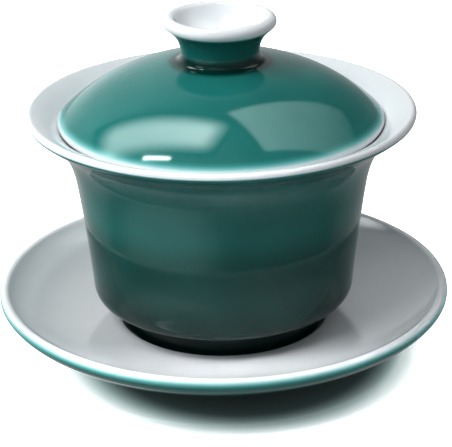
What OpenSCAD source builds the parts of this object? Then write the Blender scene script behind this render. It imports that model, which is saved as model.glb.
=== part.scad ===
// Gaiwan: a saucer, a flared bowl and a domed lid with a hollow knob.
// White porcelain, with a green glaze coat fired onto the outside of each piece.
// Millimetres, +Z up. The origin is the centre of the saucer's foot, on the table.

/* [Bowl] */
// Outer diameter of the bowl at its rim
rim_d = 100; // [92:1:104]
// Height of the rim's widest ring above the table
rim_z = 64.9; // [62:0.1:68]
// Outer diameter of the waist under the flare
waist_d = 75.6; // [72:0.2:80]
// Height of the waist above the table
waist_z = 47; // [44:0.5:50]
// Outer diameter of the wall just above the shoulder
shoulder_d = 69.2; // [66:0.2:72]
// Outer diameter of the foot ring
bowl_foot_d = 52.6; // [50:0.2:53]
// Width of the foot ring
bowl_foot_w = 3; // [2:0.2:4]
// Height of the hollow inside the foot ring
bowl_foot_h = 5.6; // [4:0.2:6.5]

/* [Lid] */
// Outer diameter of the lid at its edge
lid_d = 83.8; // [80:0.2:84]
// Height of the middle of the lid's round edge above the table
lid_z = 62.75; // [62.7:0.05:64]
// Radius of the top of the dome
crown_r = 70; // [64:1:80]
// Radius of the side of the dome
side_r = 50; // [46:1:54]
// Angle from upright at which the top of the dome meets the side
crown_a = 19; // [14:1:24]

/* [Knob] */
// Outer diameter of the knob's lip
knob_d = 28.7; // [26:0.1:32]
// Diameter of the knob's neck
neck_d = 20; // [17:0.5:22]
// Diameter of the glaze fillet at the knob's base
knob_base_d = 23.8; // [22:0.2:26]
// Height of the knob's lip above the dome
knob_h = 9.2; // [8:0.1:12]
// Depth of the knob's cup
cup_depth = 6.6; // [4.5:0.1:7.5]

/* [Saucer] */
// Outer diameter of the saucer
saucer_d = 119; // [112:1:126]
// Height of the saucer's widest ring above the table
saucer_z = 16.1; // [15:0.1:18]
// Diameter of the well that takes the bowl's foot
well_d = 54.2; // [54:0.2:57]
// Height of the floor of the well above the table
well_z = 5.6; // [5:0.1:6]
// Outer diameter of the saucer's foot ring
saucer_foot_d = 67; // [62:1:72]
// Width of the saucer's foot ring
saucer_foot_w = 3.2; // [2.4:0.2:4]
// Height of the hollow inside the saucer's foot ring
saucer_foot_h = 2.4; // [1.8:0.1:2.6]

/* [Glaze] */
// Thickness of the green glaze coat
glaze_t = 0.4; // [0.3:0.05:0.5]
// Height of the bare band between the green glaze and the base of a foot
bare_h = 1.1; // [0.8:0.1:1.5]

/* [Hidden] */
$fn = 128;

PORCELAIN = "#eef1f4";
GREEN = "#1f6f66";

// Points on each long curve and on each small round
LONG = 12;
ROUND = 6;

// Radii of the round edges
rim_edge = 1.1;
lid_edge = 1.2;
knob_edge = 1.6;
saucer_edge = 1.5;
foot_edge = 0.7;

// Gap between the bowl's foot and the floor of the well
seat_gap = 0.1;
bowl_base_z = well_z + seat_gap;
cavity_z = bowl_base_z + bowl_foot_h + 3.4;

// Centres of the arcs that make the dome
edge_r = lid_d / 2 - lid_edge;
side_x = (crown_r - side_r) * sin(crown_a);
edge_a = asin((edge_r - side_x) / (side_r - lid_edge));
side_c = [side_x, lid_z - (side_r - lid_edge) * cos(edge_a)];
crown_c = [0, side_c.y - (crown_r - side_r) * cos(crown_a)];
crown_z = crown_c.y + crown_r;

// Centres of the round edges
rim_c = [rim_d / 2 - rim_edge, rim_z];
lid_c = [edge_r, lid_z];
knob_c = [knob_d / 2 - knob_edge, crown_z + knob_h];
saucer_c = [saucer_d / 2 - saucer_edge, saucer_z];

// A unit vector at an angle counted from +X towards +Z
function heading(a) = [cos(a), sin(a)];

function arc(centre, r, a0, a1, n) =
    [for (i = [0 : n]) centre + r * heading(a0 + (a1 - a0) * i / n)];

function bezier(p0, p1, p2, p3, n) =
    [for (i = [0 : n]) let (t = i / n, u = 1 - t)
        u * u * u * p0 + 3 * u * u * t * p1 + 3 * u * t * t * p2 + t * t * t * p3];

// Joins curves that start where the last one ended, and keeps one point at each joint
function chain(curves) =
    concat([curves[0][0]], [for (c = curves) for (i = [1 : len(c) - 1]) c[i]]);

function reverse(path) = [for (i = [len(path) - 1 : -1 : 0]) path[i]];

// Moves a path that runs down the outside of a wall into the wall by t
function inset(path, t) =
    let (last = len(path) - 1)
    [for (i = [0 : last])
        let (d = path[min(i + 1, last)] - path[max(i - 1, 0)])
        path[i] + t * [d.y, -d.x] / norm(d)];

// Angle from upright at which the dome, moved inwards by t, meets the knob's fillet
function seat_a(t) = asin(knob_base_d / 2 / (crown_r - t));

// Outside of the bowl that the green glaze covers, from the rim to just above the base
function bowl_outside() =
    let (flare = rim_c + rim_edge * heading(-50),
         waist = [waist_d / 2, waist_z],
         shoulder = [shoulder_d / 2, 19.5],
         foot = [bowl_foot_d / 2 + 0.3, 11.9])
    chain([
        arc(rim_c, rim_edge, 0, -50, ROUND),
        bezier(flare, flare + 6.2 * heading(-140), waist + [1.9, 11.8], waist, LONG),
        bezier(waist, waist - [1.1, 6.8], shoulder + [0.6, 7], shoulder, LONG),
        bezier(shoulder, shoulder - [0.15, 4.1], [33.7, 14.4], foot + [0.9, 1], LONG),
        bezier(foot + [0.9, 1], foot + [0.3, 0.8], foot + [0, 0.5], foot, ROUND),
        [foot, [bowl_foot_d / 2, bowl_base_z + bare_h]]
    ]);

// Inside of the bowl, from the axis up to the outer point of the rim
function bowl_inside() =
    let (lip = rim_c + rim_edge * heading(112),
         side = [waist_d / 2 - 2.7, waist_z - 1],
         heel = [shoulder_d / 2 - 3, 21.5])
    chain([
        bezier([0, cavity_z], [18, cavity_z], [heel.x - 1.3, cavity_z + 0.2], heel, LONG),
        bezier(heel, heel + [0.9, 4.5], side - [1.7, 10], side, LONG),
        bezier(side, side + [2.2, 14], lip + 6.8 * heading(202), lip, LONG),
        arc(rim_c, rim_edge, 112, 0, ROUND)
    ]);

// Foot ring of the bowl, from its bare outer wall round to the hollow inside it
function bowl_foot() =
    let (out = bowl_foot_d / 2 - glaze_t, inn = bowl_foot_d / 2 - bowl_foot_w,
         z = bowl_base_z)
    concat(
        arc([out - foot_edge, z + foot_edge], foot_edge, 0, -90, ROUND),
        arc([inn + foot_edge, z + foot_edge], foot_edge, -90, -180, ROUND),
        [[inn - 0.5, z + bowl_foot_h - 0.8], [inn - 1.3, z + bowl_foot_h], [0, z + bowl_foot_h]]
    );

// Outside of the saucer that the green glaze covers, from the lip to just above the base
function saucer_outside() =
    let (lip = saucer_c + saucer_edge * heading(-35),
         out = saucer_foot_d / 2)
    chain([
        arc(saucer_c, saucer_edge, 0, -35, ROUND),
        bezier(lip, lip + 4.9 * heading(-122), [45, 4.9], [out + 0.5, 4.1], LONG),
        bezier([out + 0.5, 4.1], [out + 0.2, 4.05], [out, 3.8], [out, 3.4], ROUND),
        [[out, 3.4], [out - 0.3, bare_h]]
    ]);

// Top of the saucer, from the axis over the well and the dish to the outer point of the lip
function saucer_inside() =
    let (r = well_d / 2,
         lip = saucer_c + saucer_edge * heading(135))
    concat(
        [[0, well_z]],
        arc([r - 0.9, well_z + 0.9], 0.9, -90, 0, ROUND),
        chain([
            arc([r + 1.2, 7.2], 1, 180, 90, ROUND),
            bezier([r + 1.2, 8.2], [44, 8.6], lip + 5 * heading(-135), lip, LONG),
            arc(saucer_c, saucer_edge, 135, 0, ROUND)
        ])
    );

// Foot ring of the saucer, from its bare outer wall round to the hollow inside it
function saucer_foot() =
    let (out = saucer_foot_d / 2 - 0.3 - glaze_t, inn = saucer_foot_d / 2 - saucer_foot_w)
    concat(
        arc([out - foot_edge, foot_edge], foot_edge, 0, -90, ROUND),
        arc([inn + foot_edge, foot_edge], foot_edge, -90, -180, ROUND),
        [[inn - 0.4, saucer_foot_h - 0.5], [inn - 1, saucer_foot_h], [0, saucer_foot_h]]
    );

// Top of the lid, moved inwards by t, from the knob's fillet out to the edge
function lid_outside(t) =
    chain([
        arc(crown_c, crown_r - t, 90 - seat_a(t), 90 - crown_a, ROUND),
        arc(side_c, side_r - t, 90 - crown_a, 90 - edge_a, LONG),
        arc(lid_c, lid_edge - t, 90 - edge_a, 0, ROUND)
    ]);

// Underside of the lid, from the outer point of the edge in to the axis
function lid_inside() =
    let (t = 2 * lid_edge)
    chain([
        arc(lid_c, lid_edge, 0, -90 - edge_a, ROUND),
        arc(side_c, side_r - t, 90 - edge_a, 90 - crown_a, LONG),
        arc(crown_c, crown_r - t, 90 - crown_a, 90, ROUND)
    ]);

// Outside of the knob, from just under the lip down to the fillet on the dome
function knob_outside() =
    let (under = knob_c + knob_edge * heading(-45),
         neck = [neck_d / 2, crown_z + 1.6],
         toe = crown_c + crown_r * heading(90 - seat_a(0)))
    chain([
        arc(knob_c, knob_edge, -20, -45, ROUND),
        bezier(under, under + 1.6 * heading(-135), neck + [0.3, 4.1], neck, LONG),
        bezier(neck, neck - [0, 1.4], toe - 1.2 * heading(-seat_a(0)), toe, LONG)
    ]);

// Cup of the knob, from the axis up over the lip to where the green glaze starts
function knob_inside() =
    let (lip = knob_c + knob_edge * heading(150), z = lip.y - cup_depth)
    chain([
        bezier([0, z], [5.6, z], lip + 3.4 * heading(-120), lip, LONG),
        arc(knob_c, knob_edge, 150, -20, LONG)
    ]);

// Bare top of the dome that the knob is luted to, from the axis out to the fillet
function knob_seat() = arc(crown_c, crown_r - glaze_t, 90, 90 - seat_a(glaze_t), ROUND);

// Turns an outline about the axis of the gaiwan
module turn(outline) {
    rotate_extrude() polygon(outline);
}

// The green glaze on the outside of a wall
module coat(path) {
    color(GREEN) turn(concat(path, reverse(inset(path, glaze_t))));
}

module saucer_body() {
    color(PORCELAIN)
        turn(concat(saucer_inside(), inset(saucer_outside(), glaze_t), saucer_foot()));
}

module saucer_green_glaze() {
    coat(saucer_outside());
}

module bowl_body() {
    color(PORCELAIN)
        turn(concat(bowl_inside(), inset(bowl_outside(), glaze_t), bowl_foot()));
}

module bowl_green_glaze() {
    coat(bowl_outside());
}

module lid_body() {
    color(PORCELAIN) turn(concat(chain([knob_seat(), lid_outside(glaze_t)]), lid_inside()));
}

module lid_green_glaze() {
    color(GREEN) turn(concat(lid_outside(0), reverse(lid_outside(glaze_t))));
}

module knob_body() {
    side = inset(knob_outside(), glaze_t);
    color(PORCELAIN) turn(concat(knob_inside(), side, reverse(knob_seat())));
}

module knob_green_glaze() {
    coat(knob_outside());
}

saucer_body();
saucer_green_glaze();
bowl_body();
bowl_green_glaze();
lid_body();
lid_green_glaze();
knob_body();
knob_green_glaze();
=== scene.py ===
# The looks of the gaiwan: turned porcelain bodies, their green glaze coats, a pale floor,
# soft studio light and the camera. Outlines are in millimetres, as (radius, height) pairs.

from math import asin, ceil, cos, degrees, pi, radians, sin

import bpy
import numpy as np
from mathutils import Matrix, Quaternion, Vector


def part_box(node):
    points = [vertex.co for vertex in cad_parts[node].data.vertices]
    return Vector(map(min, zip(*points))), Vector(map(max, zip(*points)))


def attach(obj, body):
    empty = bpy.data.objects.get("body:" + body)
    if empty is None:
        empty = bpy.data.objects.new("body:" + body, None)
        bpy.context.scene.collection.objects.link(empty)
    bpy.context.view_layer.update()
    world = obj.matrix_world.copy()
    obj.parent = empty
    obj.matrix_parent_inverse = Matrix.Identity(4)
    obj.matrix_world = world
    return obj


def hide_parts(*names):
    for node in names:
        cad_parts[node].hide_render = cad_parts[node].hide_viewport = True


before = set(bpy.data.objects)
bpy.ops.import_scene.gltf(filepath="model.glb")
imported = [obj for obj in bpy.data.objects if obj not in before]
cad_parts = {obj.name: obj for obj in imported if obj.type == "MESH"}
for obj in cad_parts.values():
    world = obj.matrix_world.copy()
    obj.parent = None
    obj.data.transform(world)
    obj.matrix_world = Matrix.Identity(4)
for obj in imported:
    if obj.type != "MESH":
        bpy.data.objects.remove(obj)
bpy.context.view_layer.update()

MM = 0.001

# Points round each turned piece, and the steps along its outline. An arc's steps are no more
# than ARC_STEP degrees and ARC_LENGTH millimetres.
SEGMENTS = 256
ARC_STEP = 5
ARC_LENGTH = 0.8
CURVE_STEPS = 32

# Glaze: thickness of the green coat, and the hair's breadth between it and the wall under it
GLAZE_T = 0.4
GLAZE_GAP = 0.02
# Length over which a coat thins out to nothing at a lip
FEATHER = 1.2
# Edges sharper than this, in degrees, are shaded as edges
SHARP = 35

# Radii of the round edges
RIM_EDGE = 1.1
LID_EDGE = 1.2
KNOB_EDGE = 1.6
SAUCER_EDGE = 1.5
FOOT_EDGE = 0.7

# How thick the green looks on the bowl and on the lid, beside the other coats. The lid's lighter
# green is partly painted light: it stands in for the stronger light on the lid's top.
BOWL_COAT = 1.03
LID_COAT = 0.88
# How far the lower edge of a coat wanders up and down above a foot
EDGE_SWAY = 0.25
# Height of the bare clay on a foot, and over how much it gives way to the glaze
CLAY_H = 0.9
CLAY_FADE = 1.2

# Colours: the white body, the body under one thickness of green, and two shades of bare clay
PORCELAIN_COLOUR = (0.76, 0.79, 0.81)
GLAZE_COLOUR = (0.013, 0.162, 0.147)
CLAY_COLOUR = (0.72, 0.66, 0.57, 1)
PALE_CLAY_COLOUR = (0.8, 0.76, 0.7, 1)

# The painted shadow on the floor: radii where it starts to lift and where it has gone, how much
# narrower it is across than from front to back, and where its middle is, in metres
SHADE_R = 40
SHADE_END_R = 57.5
SHADE_NARROWER = 1.12
SHADE_SHIFT = (-0.005, 0.003, 0)
# Radius of the near floor, which shows in the glaze with its painted shadow, and half the far
# floor's side in metres
NEAR_R = 49
FAR_HALF = 4.0

# Distances in metres: of the wide lamps and panels from the gaiwan, and of the two low beams
# from what they light
LIGHT_AWAY = 0.9
BEAM_AWAY = 0.3
# What the wide lamps and the panels face, in metres
LAMP_TARGET = (0, 0, 0.05)
PANEL_TARGET = (0, 0, 0.06)


def reach(node):
    """The largest radius, lowest height and highest height of a CAD node, in millimetres."""
    low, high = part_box(node)
    return high.x / MM, low.z / MM, high.z / MM


rim_r, bowl_base, rim_top = reach("bowl_body")
lid_r, _, _ = reach("lid_body")
_, lid_z, _ = reach("lid_green_glaze")
knob_r, _, knob_top = reach("knob_body")
saucer_r, _, saucer_top = reach("saucer_body")

RIM = np.array([rim_r - RIM_EDGE, rim_top - RIM_EDGE])
LID = np.array([lid_r - LID_EDGE, lid_z])
KNOB = np.array([knob_r - KNOB_EDGE, knob_top - KNOB_EDGE])
SAUCER = np.array([saucer_r - SAUCER_EDGE, saucer_top - SAUCER_EDGE])

# Bowl: waist and shoulder of its wall, the top of its foot, and the hollow under the foot
WAIST = np.array([37.8, 47])
SHOULDER = np.array([34.6, 19.5])
FOOT_TOP = np.array([26.6, 11.9])
BOWL_FOOT_R = 26.3
BOWL_FOOT_W = 3
BOWL_FOOT_H = 5.6
BARE_H = 1.1
CAVITY_Z = bowl_base + BOWL_FOOT_H + 3.4

# Lid: radii of the dome's top and side, and the angle from upright where they meet
CROWN_R = 70
SIDE_R = 50
CROWN_A = 19
SIDE_X = (CROWN_R - SIDE_R) * sin(radians(CROWN_A))
EDGE_A = degrees(asin((LID[0] - SIDE_X) / (SIDE_R - LID_EDGE)))
SIDE = np.array([SIDE_X, LID[1] - (SIDE_R - LID_EDGE) * cos(radians(EDGE_A))])
CROWN = np.array([0, SIDE[1] - (CROWN_R - SIDE_R) * cos(radians(CROWN_A))])
CROWN_Z = CROWN[1] + CROWN_R

# Knob: radii of its neck and of the glaze fillet at its base, and the depth of its cup
NECK_R = 10
KNOB_BASE_R = 11.9
CUP_DEPTH = 6.6
SEAT_A = degrees(asin(KNOB_BASE_R / CROWN_R))

# Saucer: its well, and its foot ring with the hollow inside it
WELL_R = 27.1
WELL_Z = 5.6
SAUCER_FOOT_R = 33.5
SAUCER_FOOT_W = 3.2
SAUCER_FOOT_H = 2.4


# ---------------------------------------------------------------- outlines

def heading(angle):
    return np.array([cos(radians(angle)), sin(radians(angle))])


def arc(centre, r, start, end):
    sweep = abs(end - start)
    steps = max(2, ceil(sweep / ARC_STEP), ceil(radians(sweep) * r / ARC_LENGTH))
    return np.array([centre + r * heading(a) for a in np.linspace(start, end, steps + 1)])


def bezier(p0, p1, p2, p3, steps=CURVE_STEPS):
    t = np.linspace(0, 1, steps + 1)[:, None]
    u = 1 - t
    points = [np.array(p, float) for p in (p0, p1, p2, p3)]
    weights = [u ** 3, 3 * u * u * t, 3 * u * t * t, t ** 3]
    return sum(w * p for w, p in zip(weights, points))


def line(start, end, steps=6):
    t = np.linspace(0, 1, steps + 1)[:, None]
    return np.array(start) * (1 - t) + np.array(end) * t


def chain(*curves):
    """Joins curves, and keeps one point where one starts at the last one's end."""
    path = [curves[0]]
    for curve in curves[1:]:
        repeats = np.linalg.norm(curve[0] - path[-1][-1]) < 1e-6
        path.append(curve[1:] if repeats else curve)
    return np.concatenate(path)


def distance(path):
    """How far along the path each of its points is."""
    return np.concatenate([[0], np.cumsum(np.linalg.norm(np.diff(path, axis=0), axis=1))])


def smooth(x):
    x = np.clip(x, 0, 1)
    return x * x * (3 - 2 * x)


def ramp(x, low, high):
    """0 up to low, 1 from high on, and a smooth rise between them."""
    return smooth((x - low) / (high - low))


def inset(path, depth):
    """Moves a path that runs down the outside of a wall into the wall."""
    step = np.gradient(path, axis=0)
    inward = np.stack([step[:, 1], -step[:, 0]], 1) / np.linalg.norm(step, axis=1)[:, None]
    return path + inward * np.broadcast_to(depth, len(path))[:, None]


def bowl_outside():
    flare = RIM + RIM_EDGE * heading(-50)
    brow = FOOT_TOP + [0.9, 1]
    return chain(
        arc(RIM, RIM_EDGE, 0, -50),
        bezier(flare, flare + 6.2 * heading(-140), WAIST + [1.9, 11.8], WAIST),
        bezier(WAIST, WAIST - [1.1, 6.8], SHOULDER + [0.6, 7], SHOULDER),
        bezier(SHOULDER, SHOULDER - [0.15, 4.1], [33.7, 14.4], brow),
        bezier(brow, FOOT_TOP + [0.3, 0.8], FOOT_TOP + [0, 0.5], FOOT_TOP, 8),
        line(FOOT_TOP, [BOWL_FOOT_R, bowl_base + BARE_H], 16))


def bowl_inside():
    lip = RIM + RIM_EDGE * heading(112)
    side = WAIST - [2.7, 1]
    heel = np.array([SHOULDER[0] - 3, 21.5])
    return chain(
        bezier([0, CAVITY_Z], [18, CAVITY_Z], [heel[0] - 1.3, CAVITY_Z + 0.2], heel),
        bezier(heel, heel + [0.9, 4.5], side - [1.7, 10], side),
        bezier(side, side + [2.2, 14], lip + 6.8 * heading(202), lip),
        arc(RIM, RIM_EDGE, 112, 0))


def foot_ring(outer, inner, base, hollow):
    """A foot ring from its outer wall round to the hollow inside it, up to the axis."""
    return chain(
        arc(np.array([outer - FOOT_EDGE, base + FOOT_EDGE]), FOOT_EDGE, 0, -90),
        arc(np.array([inner + FOOT_EDGE, base + FOOT_EDGE]), FOOT_EDGE, -90, -180),
        bezier([inner, base + FOOT_EDGE], [inner - 0.3, base + hollow - 0.3],
               [inner - 0.6, base + hollow], [inner - 2, base + hollow], 12),
        line([inner - 2, base + hollow], [0, base + hollow]))


def saucer_outside():
    lip = SAUCER + SAUCER_EDGE * heading(-35)
    out = SAUCER_FOOT_R
    return chain(
        arc(SAUCER, SAUCER_EDGE, 0, -35),
        bezier(lip, lip + 4.9 * heading(-122), [45, 4.9], [out + 0.5, 4.1]),
        bezier([out + 0.5, 4.1], [out + 0.2, 4.05], [out, 3.8], [out, 3.4], 8),
        line([out, 3.4], [out - 0.3, BARE_H]))


def saucer_inside():
    lip = SAUCER + SAUCER_EDGE * heading(135)
    brow = [WELL_R + 1.2, 8.2]
    return chain(
        line([0, WELL_Z], [WELL_R - 0.9, WELL_Z], 10),
        arc(np.array([WELL_R - 0.9, WELL_Z + 0.9]), 0.9, -90, 0),
        line([WELL_R, WELL_Z + 0.9], [WELL_R + 0.2, 7.2], 2),
        arc(np.array([WELL_R + 1.2, 7.2]), 1, 180, 90),
        bezier(brow, [44, 8.6], lip + 5 * heading(-135), lip),
        arc(SAUCER, SAUCER_EDGE, 135, 0))


def lid_outside():
    return chain(
        arc(CROWN, CROWN_R, 90 - SEAT_A, 90 - CROWN_A),
        arc(SIDE, SIDE_R, 90 - CROWN_A, 90 - EDGE_A),
        arc(LID, LID_EDGE, 90 - EDGE_A, 0))


def lid_inside():
    wall = 2 * LID_EDGE
    return chain(
        arc(LID, LID_EDGE, 0, -90 - EDGE_A),
        arc(SIDE, SIDE_R - wall, 90 - EDGE_A, 90 - CROWN_A),
        arc(CROWN, CROWN_R - wall, 90 - CROWN_A, 90))


def knob_outside():
    under = KNOB + KNOB_EDGE * heading(-45)
    neck = np.array([NECK_R, CROWN_Z + 1.6])
    toe = CROWN + CROWN_R * heading(90 - SEAT_A)
    return chain(
        arc(KNOB, KNOB_EDGE, -20, -45),
        bezier(under, under + 1.6 * heading(-135), neck + [0.3, 4.1], neck),
        bezier(neck, neck - [0, 1.4], toe - 1.2 * heading(-SEAT_A), toe))


def knob_inside():
    lip = KNOB + KNOB_EDGE * heading(150)
    floor_z = lip[1] - CUP_DEPTH
    return chain(
        bezier([0, floor_z], [5.6, floor_z], lip + 3.4 * heading(-120), lip),
        arc(KNOB, KNOB_EDGE, 150, -20))


# ---------------------------------------------------------------- turned pieces

def wave(angle):
    """A gentle irregular wave round a piece, between about -1 and 1."""
    return (0.5 * np.sin(3 * angle + 0.7) + 0.3 * np.sin(7 * angle + 2.1)
            + 0.2 * np.sin(13 * angle + 4))


def end_cap(outer, inner, steps=6):
    """The round end of a coat, from its outer face to its inner face."""
    middle, arm = (outer + inner) / 2, (outer - inner) / 2
    side = np.array([arm[1], -arm[0]])
    turns = np.linspace(0, pi, steps + 1)[1:-1]
    return np.array([middle + cos(t) * arm + sin(t) * side for t in turns])


def coat(path, thin_start, round_end):
    """The closed outline of a glaze coat, and how far along the path each of its points is.
    The coat thins out to nothing at one end of the path, where it meets a bare white lip."""
    along = distance(path)
    to_lip = along if thin_start else along[-1] - along
    inner = inset(path, (GLAZE_T - GLAZE_GAP) * smooth(to_lip / FEATHER))
    cap = end_cap(path[-1], inner[-1]) if round_end else np.empty((0, 2))
    kept = slice(1, None) if thin_start else slice(None, -1)
    outline = np.concatenate([path, cap, inner[kept][::-1]])
    return outline, np.concatenate([along, np.full(len(cap), along[-1]), along[kept][::-1]])


def under_coat(path, thin_start):
    """The porcelain wall under a coat. It meets the coat's outer face where the coat is thin."""
    along = distance(path)
    to_lip = along if thin_start else along[-1] - along
    return inset(path, GLAZE_T * smooth(to_lip / FEATHER))


def lathe(name, outline, closed, values, sway=0):
    """Turns an outline about the axis. values holds one number a point for each attribute's
    name, and sway is how far each point goes up and down with the wave round the piece."""
    angles = np.arange(SEGMENTS) * 2 * pi / SEGMENTS
    sway = np.broadcast_to(sway, len(outline))
    verts, rings, kept = [], [], []
    for i, (r, z) in enumerate(outline):
        on_axis = r < 1e-6
        count = 1 if on_axis else SEGMENTS
        rings.append([len(verts) + j % count for j in range(SEGMENTS)])
        heights = z + (0 if on_axis else sway[i]) * wave(angles)
        verts += [(r * cos(a), r * sin(a), h) for a, h in zip(angles[:count], heights)]
        kept += [i] * count
    pairs = list(zip(rings, rings[1:])) + ([(rings[-1], rings[0])] if closed else [])
    faces = []
    for a, b in pairs:
        for j in range(SEGMENTS):
            k = (j + 1) % SEGMENTS
            faces.append(list(dict.fromkeys([a[j], b[j], b[k], a[k]])))
    mesh = bpy.data.meshes.new(name)
    mesh.from_pydata([Vector(v) * MM for v in verts], [], faces)
    for attribute, numbers in values.items():
        layer = mesh.attributes.new(attribute, "FLOAT", "POINT")
        layer.data.foreach_set("value", np.array(numbers, np.float32)[kept])
    mesh.shade_smooth()
    mesh.set_sharp_from_angle(angle=radians(SHARP))
    piece = bpy.data.objects.new(name, mesh)
    bpy.context.scene.collection.objects.link(piece)
    return piece


def set_in(piece, node, material, body):
    """Puts a piece in the place of a CAD node."""
    piece.data.materials.append(material)
    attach(piece, body)
    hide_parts(node)


def porcelain(node, body, outline, stain, foot_z=None):
    """A white body. stain is the green at each point, and foot_z the lowest height of its foot,
    which is bare clay there."""
    bare = np.zeros(len(outline))
    if foot_z is not None:
        bare = 1 - ramp(outline[:, 1] - foot_z, CLAY_H, CLAY_H + CLAY_FADE)
    values = {"glaze": stain, "bare": bare, "along": distance(outline)}
    piece = lathe(node.replace("body", "porcelain"), outline, False, values)
    set_in(piece, node, WHITE, body)


def green_coat(node, body, outline, along, glaze, sway=0):
    values = {"glaze": glaze, "bare": np.zeros(len(outline)), "along": along}
    piece = lathe(node.replace("green_", ""), outline, True, values, sway)
    set_in(piece, node, GREEN, body)


def build_saucer():
    outside, inside = saucer_outside(), saucer_inside()
    foot = foot_ring(SAUCER_FOOT_R - 0.3 - GLAZE_T, SAUCER_FOOT_R - SAUCER_FOOT_W, 0, SAUCER_FOOT_H)
    outline = chain(inside, under_coat(outside, True), foot)
    end = distance(outside)[-1]

    def fade(past_lip):
        return ramp(past_lip, -1.6, 1.4)

    past_lip = distance(outline) - distance(inside)[-1]
    porcelain("saucer_body", "saucer", outline, fade(past_lip) * (past_lip < end - 2), 0)
    shell, along = coat(outside, True, True)
    green = fade(along) + 0.5 * ramp(along - end, -5, -1)
    sway = EDGE_SWAY * ramp(along - end, -2, 0)
    green_coat("saucer_green_glaze", "saucer", shell, along, green, sway)


def build_bowl():
    outside, inside = bowl_outside(), bowl_inside()
    foot = foot_ring(BOWL_FOOT_R - GLAZE_T, BOWL_FOOT_R - BOWL_FOOT_W, bowl_base, BOWL_FOOT_H)
    outline = chain(inside, under_coat(outside, True), foot)
    porcelain("bowl_body", "bowl", outline, np.zeros(len(outline)), bowl_base)
    shell, along = coat(outside, True, True)
    past_end = along - distance(outside)[-1]
    # Glaze pooling and painted shade: the green grows thicker down the lower wall, partly as glaze
    # pooling towards the foot and partly as painted shade of the darker lower wall
    pool_and_shade = 0.5 * ramp(past_end, -42, -30) + 0.8 * ramp(past_end, -25, -9)
    green = BOWL_COAT * ramp(along, 0, 0.5) + pool_and_shade
    green_coat("bowl_green_glaze", "bowl", shell, along, green, EDGE_SWAY * ramp(past_end, -2, 0))


def build_lid():
    outside = lid_outside()
    seat = arc(CROWN, CROWN_R - GLAZE_T, 90, 90 - SEAT_A)
    outline = chain(seat, under_coat(outside, False), lid_inside())
    porcelain("lid_body", "lid", outline, np.zeros(len(outline)))
    shell, along = coat(outside, False, False)
    to_lip = distance(outside)[-1] - along
    # Glaze pooling and painted shade: the green thickens in the crease round the knob's base
    pool_and_shade = 0.7 * ramp(-along, -1.8, 0)
    green_coat("lid_green_glaze", "lid", shell, along, LID_COAT * ramp(to_lip, 0.3, 3.5) + pool_and_shade)


def build_knob():
    outside, inside = knob_outside(), knob_inside()
    seat = arc(CROWN, CROWN_R - GLAZE_T, 90 - SEAT_A, 90)
    outline = chain(inside, under_coat(outside, True), seat)
    porcelain("knob_body", "lid", outline, np.zeros(len(outline)))
    shell, along = coat(outside, True, False)
    # Glaze pooling and painted shade: the green thickens in the fillet where the knob meets the lid
    pool_and_shade = 0.9 * ramp(along - distance(outside)[-1], -3.8, -2.2)
    green_coat("knob_green_glaze", "lid", shell, along, ramp(along, 0.7, 2.3) + pool_and_shade)


# ---------------------------------------------------------------- materials

def new_material(name):
    material = bpy.data.materials.new(name)
    material.use_nodes = True
    material.node_tree.nodes.clear()
    return material, material.node_tree


def add(tree, kind, inputs, **settings):
    """Adds a node, sets its settings, and gives each input a value or another node's output."""
    node = tree.nodes.new("ShaderNode" + kind)
    for key, value in settings.items():
        setattr(node, key, value)
    for key, value in inputs.items():
        if isinstance(value, bpy.types.NodeSocket):
            tree.links.new(value, node.inputs[key])
        else:
            node.inputs[key].default_value = value
    return node


def calc(tree, operation, a, b=0.0, c=0.0):
    return add(tree, "Math", {0: a, 1: b, 2: c}, operation=operation).outputs[0]


def attribute(tree, name):
    return add(tree, "Attribute", {}, attribute_name=name).outputs["Fac"]


def noise(tree, size, detail=2.0, vector=None):
    """Soft noise from 0 to 1 with features about size metres across."""
    if vector is None:
        vector = add(tree, "TexCoord", {}).outputs["Object"]
    inputs = {"Vector": vector, "Scale": 1 / size, "Detail": detail}
    return add(tree, "TexNoise", inputs).outputs["Fac"]


def turning_lines(tree, size):
    """Noise that runs round a piece in fine rings, size metres apart."""
    place = add(tree, "TexCoord", {}).outputs["Object"]
    flat = add(tree, "VectorMath", {0: place, 1: (0.06, 0.06, 0)}, operation="MULTIPLY").outputs[0]
    along = calc(tree, "MULTIPLY", attribute(tree, "along"), MM)
    rise = add(tree, "CombineXYZ", {"Z": along}).outputs[0]
    where = add(tree, "VectorMath", {0: flat, 1: rise}, operation="ADD").outputs[0]
    return noise(tree, size, 2.0, where)


def stained(tree, thickness):
    """Porcelain seen through green glaze, which takes more of the light the thicker it is."""
    mottle = noise(tree, 0.011, 3.0)
    pale = add(tree, "MapRange", {0: mottle, 3: 0.96, 4: 1.0}).outputs[0]
    channels = []
    for white, green in zip(PORCELAIN_COLOUR, GLAZE_COLOUR):
        passed = calc(tree, "POWER", green / white, thickness)
        channels.append(calc(tree, "MULTIPLY", calc(tree, "MULTIPLY", passed, white), pale))
    return add(tree, "CombineColor", dict(enumerate(channels))).outputs[0]


def bumps(tree, layers):
    """Bump nodes in a row. Each layer is its noise and its height in metres."""
    normal = None
    for height, distance_m in layers:
        inputs = {"Height": height, "Distance": distance_m, "Strength": 1.0}
        if normal is not None:
            inputs["Normal"] = normal
        normal = add(tree, "Bump", inputs).outputs[0]
    return normal


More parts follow.
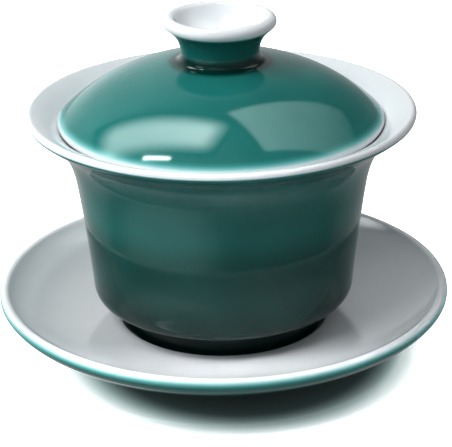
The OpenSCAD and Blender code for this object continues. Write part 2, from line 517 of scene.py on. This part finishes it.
def glazed(name, subsurface):
    """Fired glaze: green where the glaze attribute is high, white where it is 0, and bare clay
    where the bare attribute is high."""
    material, tree = new_material(name)
    uneven = add(tree, "MapRange", {0: noise(tree, 0.014, 3.0), 3: 0.9, 4: 1.1}).outputs[0]
    thickness = calc(tree, "MULTIPLY", attribute(tree, "glaze"), uneven)
    edge = calc(tree, "MULTIPLY_ADD", noise(tree, 0.004), 0.3, attribute(tree, "bare"))
    bare = add(tree, "MapRange", {0: edge, 1: 0.6, 2: 0.7}).outputs[0]
    grain = noise(tree, 0.0006, 4.0)
    clay = add(tree, "Mix", {0: grain, 6: CLAY_COLOUR, 7: PALE_CLAY_COLOUR}, data_type="RGBA")
    colour = add(tree, "Mix", {0: bare, 6: stained(tree, thickness), 7: clay.outputs[2]},
                 data_type="RGBA")
    gloss = add(tree, "MapRange", {0: noise(tree, 0.006, 3.0), 3: 0.04, 4: 0.09}).outputs[0]
    roughness = add(tree, "Mix", {0: bare, 2: gloss, 3: 0.75}, data_type="FLOAT").outputs[0]
    rough_grain = calc(tree, "MULTIPLY", grain, bare)
    normal = bumps(tree, [(turning_lines(tree, 0.003), 0.000006), (noise(tree, 0.0018), 0.0000015),
                          (rough_grain, 0.00006)])
    shader = add(tree, "BsdfPrincipled", {
        "Base Color": colour.outputs[2], "Roughness": roughness, "Normal": normal, "IOR": 1.5,
        "Subsurface Weight": subsurface, "Subsurface Radius": (1.0, 0.9, 0.8),
        "Subsurface Scale": 0.0012})
    add(tree, "OutputMaterial", {"Surface": shader.outputs[0]})
    return material


def floor_material():
    """A white sweep with painted light: away from the saucer the floor glows, and close under it a
    painted shadow darkens it, with a painted green tint at the shadow's edge.
    """
    material, tree = new_material("pale_floor_painted_shadow")
    tone = add(tree, "MapRange", {0: noise(tree, 0.05, 4.0), 3: 0.84, 4: 0.9}).outputs[0]
    white = add(tree, "CombineColor", {0: tone, 1: tone, 2: tone}).outputs[0]
    place = add(tree, "TexCoord", {}).outputs["Object"]
    inputs = {0: place, 1: (SHADE_NARROWER, 1, 1), 2: SHADE_SHIFT}
    off = add(tree, "VectorMath", inputs, operation="MULTIPLY_ADD").outputs[0]
    away = add(tree, "VectorMath", {0: off}, operation="LENGTH").outputs["Value"]
    # Painted light: 0 close under the saucer, rising to 1 away from it; it drives the floor's glow
    # and its painted shadow
    painted_light = add(tree, "MapRange", {0: away, 1: SHADE_R * MM, 2: SHADE_END_R * MM, 3: 0.0, 4: 1.0},
              interpolation_type="SMOOTHSTEP").outputs[0]
    # Painted shadow colour under the saucer, and a painted green bounce tint on the glow near it
    colour = add(tree, "Mix", {0: painted_light, 6: (0.3, 0.36, 0.36, 1), 7: white}, data_type="RGBA")
    painted_bounce_tint = add(tree, "Mix", {0: painted_light, 6: (0.6, 0.8, 0.78, 1), 7: (1, 1, 1, 1)}, data_type="RGBA")
    shader = add(tree, "BsdfPrincipled", {
        "Base Color": colour.outputs[2], "Roughness": 0.9, "Emission Color": painted_bounce_tint.outputs[2],
        "Emission Strength": painted_light})
    add(tree, "OutputMaterial", {"Surface": shader.outputs[0]})
    return material


# ---------------------------------------------------------------- studio

def add_camera():
    """In front of the gaiwan, looking 23 degrees down, with a very slight roll."""
    data = bpy.data.cameras.new("camera")
    data.lens = 135.66
    data.sensor_width = 36
    camera = bpy.data.objects.new("camera", data)
    turn = Matrix.Rotation(-0.003, 4, "Z") @ Matrix.Rotation(pi / 2 - 0.402, 4, "X")
    roll = Matrix.Rotation(-0.0141, 4, "Z")
    camera.matrix_world = Matrix.Translation((-0.00035, -0.4139, 0.2088)) @ turn @ roll
    bpy.context.scene.collection.objects.link(camera)
    bpy.context.scene.camera = camera


def add_floor_piece(name, corners, height, material):
    mesh = bpy.data.meshes.new(name)
    mesh.from_pydata([(x, y, height) for x, y in corners], [], [list(range(len(corners)))])
    mesh.materials.append(material)
    piece = bpy.data.objects.new(name, mesh)
    bpy.context.scene.collection.objects.link(piece)
    return piece


def add_floor():
    """The far floor is seen by the camera alone, so that its white doesn't wash out the glaze.
    The near floor, just above it, also shows in the glaze, with its painted shadow."""
    material = floor_material()
    corners = [(-FAR_HALF, -FAR_HALF), (FAR_HALF, -FAR_HALF), (FAR_HALF, FAR_HALF),
               (-FAR_HALF, FAR_HALF)]
    far = add_floor_piece("far_floor", corners, -0.0002, material)
    far.visible_diffuse = False
    far.visible_glossy = False
    turns = np.arange(SEGMENTS) * 2 * pi / SEGMENTS
    ring = [(NEAR_R * MM * cos(t), NEAR_R * MM * sin(t)) for t in turns]
    add_floor_piece("near_floor", ring, -0.0001, material)


def direction(azimuth, elevation):
    """A unit vector from the gaiwan. Azimuth 0 is towards the front, and 90 to its right."""
    a, e = radians(azimuth), radians(elevation)
    return Vector((sin(a) * cos(e), -cos(a) * cos(e), sin(e)))


def soft_edge(tree, across, half, fade):
    """1 in the middle of a panel, and falling to 0 at its edge."""
    off = calc(tree, "ABSOLUTE", across)
    inputs = {0: off, 1: half - fade, 2: half, 3: 1.0, 4: 0.0}
    return add(tree, "MapRange", inputs, interpolation_type="SMOOTHSTEP").outputs[0]


def panel_light(name, half_w, half_h, strength, fade, foot):
    """Light from the front of a panel. foot is how bright its lower end is beside its top."""
    material, tree = new_material(name)
    place = add(tree, "TexCoord", {}).outputs["Object"]
    axes = add(tree, "SeparateXYZ", {0: place}).outputs
    sides = calc(tree, "MULTIPLY", soft_edge(tree, axes[0], half_w, fade),
                 soft_edge(tree, axes[1], half_h, fade))
    rise = add(tree, "MapRange", {0: axes[1], 1: -half_h, 2: half_h, 3: foot, 4: 1.0}).outputs[0]
    front = calc(tree, "SUBTRACT", 1.0, add(tree, "NewGeometry", {}).outputs["Backfacing"])
    power = calc(tree, "MULTIPLY", calc(tree, "MULTIPLY", sides, rise), front)
    light = add(tree, "Emission", {"Strength": calc(tree, "MULTIPLY", power, strength)})
    add(tree, "OutputMaterial", {"Surface": light.outputs[0]})
    return material


def add_lamp(name, target, azimuth, elevation, away, width, depth, power, spread=180):
    """A soft lamp that lights the gaiwan and doesn't show in the glaze. spread is in degrees."""
    data = bpy.data.lights.new(name, "AREA")
    data.shape = "ELLIPSE"
    data.size = width
    data.size_y = depth
    data.spread = radians(spread)
    data.energy = power
    lamp = bpy.data.objects.new(name, data)
    back = direction(azimuth, elevation)
    lamp.location = Vector(target) + back * away
    lamp.rotation_euler = back.to_track_quat("Z", "Y").to_euler()
    lamp.visible_camera = False
    lamp.visible_glossy = False
    bpy.context.scene.collection.objects.link(lamp)


def add_panel(name, azimuth, elevation, width, height, strength, fade, foot=1.0, turn=0):
    """A panel that faces the gaiwan and shows only as its reflection. turn is in degrees."""
    half_w, half_h = width / 2, height / 2
    mesh = bpy.data.meshes.new(name)
    corners = [(-half_w, -half_h, 0), (half_w, -half_h, 0), (half_w, half_h, 0),
               (-half_w, half_h, 0)]
    mesh.from_pydata(corners, [], [(0, 1, 2, 3)])
    mesh.materials.append(panel_light(name, half_w, half_h, strength, fade, foot))
    panel = bpy.data.objects.new(name, mesh)
    back = direction(azimuth, elevation)
    panel.location = Vector(PANEL_TARGET) + back * LIGHT_AWAY
    facing = (-back).to_track_quat("Z", "Y") @ Quaternion((0, 0, 1), radians(turn))
    panel.rotation_euler = facing.to_euler()
    panel.visible_camera = False
    panel.visible_diffuse = False
    bpy.context.scene.collection.objects.link(panel)


def add_world(base, glows):
    """A dim room, which the camera sees as white. Each glow is a soft patch in it: azimuth,
    elevation, spread in degrees and strength."""
    world = bpy.data.worlds.new("studio")
    world.use_nodes = True
    tree = world.node_tree
    look = add(tree, "TexCoord", {}).outputs["Generated"]
    total = base
    for azimuth, elevation, spread, strength in glows:
        dot = add(tree, "VectorMath", {0: look, 1: direction(azimuth, elevation)},
                  operation="DOT_PRODUCT").outputs["Value"]
        inputs = {0: dot, 1: cos(radians(spread)), 2: 1.0, 3: 0.0, 4: strength}
        patch = add(tree, "MapRange", inputs, interpolation_type="SMOOTHSTEP").outputs[0]
        total = calc(tree, "ADD", total, patch)
    seen = add(tree, "LightPath", {}).outputs["Is Camera Ray"]
    strength = add(tree, "Mix", {0: seen, 2: total, 3: 1.0}, data_type="FLOAT").outputs[0]
    tree.links.new(strength, tree.nodes["Background"].inputs["Strength"])
    tree.nodes["Background"].inputs["Color"].default_value = (0.97, 0.99, 1, 1)
    bpy.context.scene.world = world


def add_wide_lamp(name, azimuth, elevation, power):
    add_lamp(name, LAMP_TARGET, azimuth, elevation, LIGHT_AWAY, 0.6, 0.6, power)


def light_studio():
    """Light from the upper left, with dim fill, and panels that the glaze mirrors."""
    add_world(0.2, [(-155, 18, 50, 0.8), (-50, -25, 50, 1.0), (-140, -22, 45, 0.5),
                    (140, -22, 45, 0.3), (30, -22, 70, 0.25), (0, -90, 60, 0.3),
                    (-35, 60, 42, 0.6), (85, 30, 45, 0.2)])
    add_wide_lamp("key_lamp", -62, 47, 9.0)
    add_wide_lamp("side_lamp", -85, 12, 2.1)
    add_wide_lamp("right_lamp", 80, 25, 0.6)
    add_lamp("top_beam", (-0.01, 0, 0.07), 0, 90, 0.5, 0.1, 0.1, 0.004, 6)
    add_lamp("front_beam", (-0.006, -0.045, 0.01), 8, 70, BEAM_AWAY, 0.09, 0.024, 0.0055, 7)
    add_lamp("right_beam", (0.05, -0.008, 0.012), 95, 50, BEAM_AWAY, 0.08, 0.024, 0.0012, 7)
    add_panel("left_softbox", -112, 63, 0.5, 1.0, 12, 0.2, 0.45)
    add_panel("side_fill", -66, 38, 0.6, 0.6, 2.8, 0.3)
    add_panel("right_softbox", 122, 54, 0.6, 0.85, 4.0, 0.06, 0.1)
    add_panel("small_lamp", -77, 61, 0.24, 0.07, 40, 0.04, 1.0, -50)


add_camera()
bpy.context.scene.view_settings.view_transform = "Standard"
bpy.context.scene.view_settings.gamma = 0.8
add_floor()
light_studio()

WHITE = glazed("white_porcelain", 0.15)
GREEN = glazed("green_glaze", 0.0)
build_saucer()
build_bowl()
build_lid()
build_knob()
